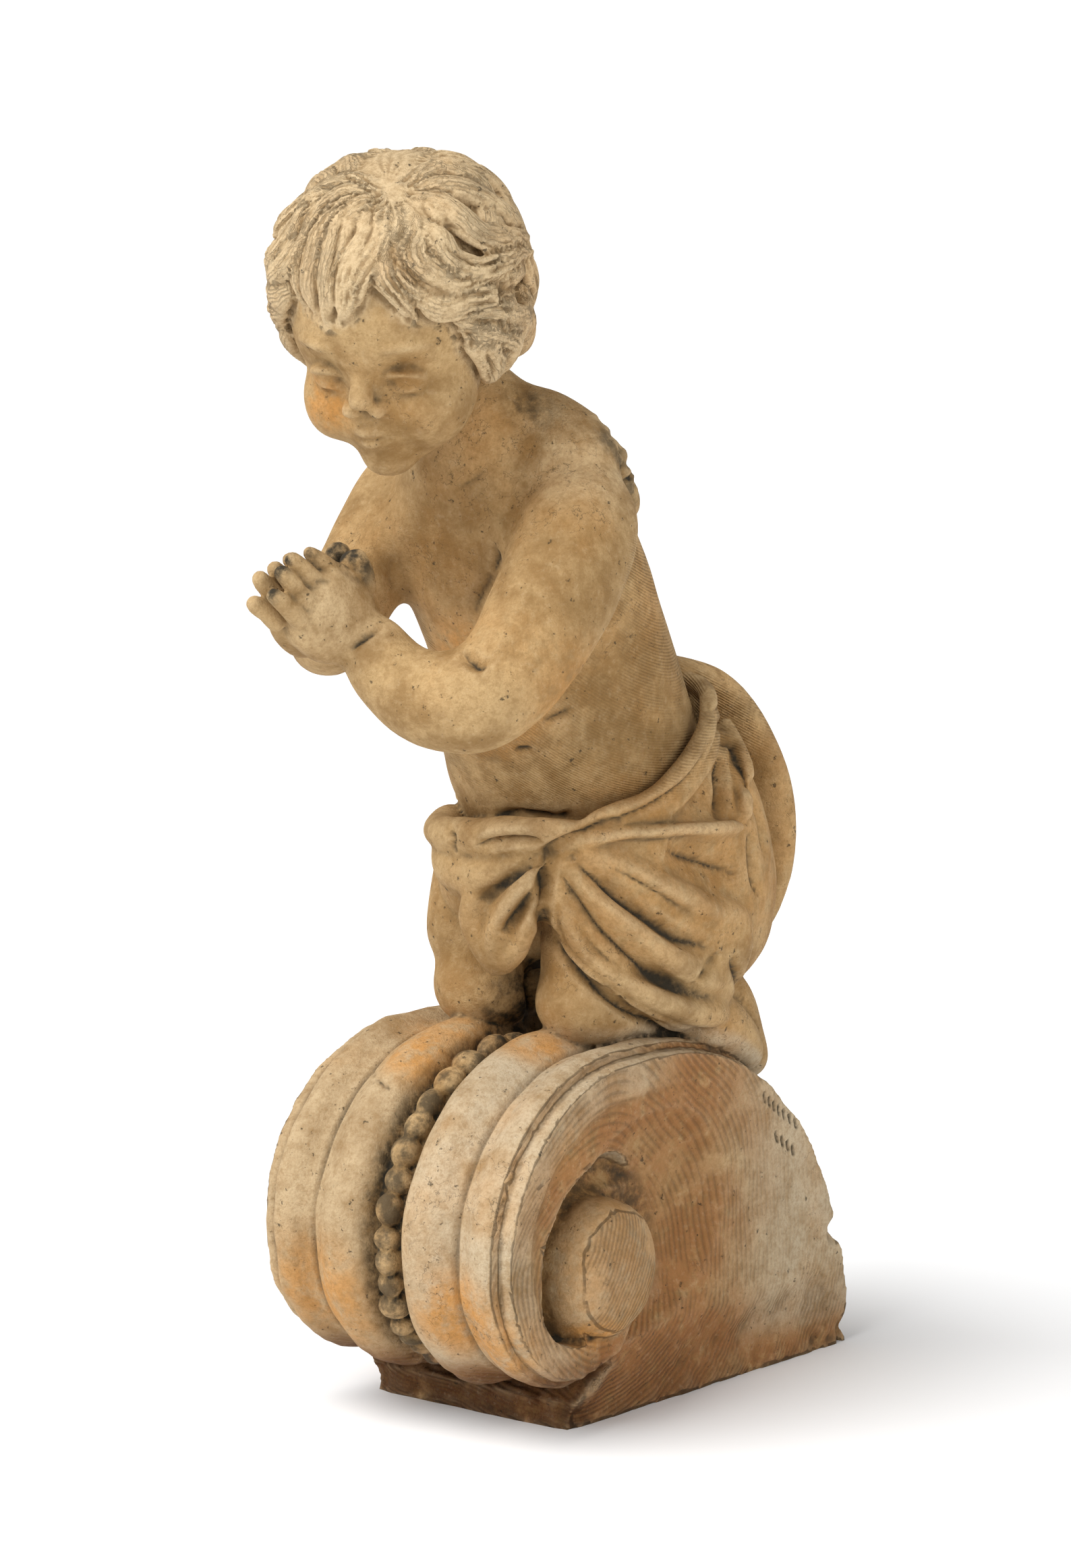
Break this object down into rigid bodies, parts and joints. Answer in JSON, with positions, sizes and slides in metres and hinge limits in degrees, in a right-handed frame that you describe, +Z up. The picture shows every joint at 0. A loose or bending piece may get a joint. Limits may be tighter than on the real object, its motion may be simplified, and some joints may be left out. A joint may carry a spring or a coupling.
{
  "type": "terracotta putto statue",
  "caption": "Unglazed terracotta statue of a kneeling, praying putto with broken wings, draped at the hips, on a scroll bracket with a bead moulding.",
  "frame": {"origin": "centre of the underside of the bracket's foot", "axes": "+Z up, -Y the way the knees and the scroll's rolled front face, +X the figure's left"},
  "size_m": [0.1613, 0.3016, 0.554],
  "materials": {
    "terracotta": "matte, unglazed fired clay"
  },
  "bodies": {
    "root": {"putto_on_scroll": "terracotta"}
  },
  "joints": []
}
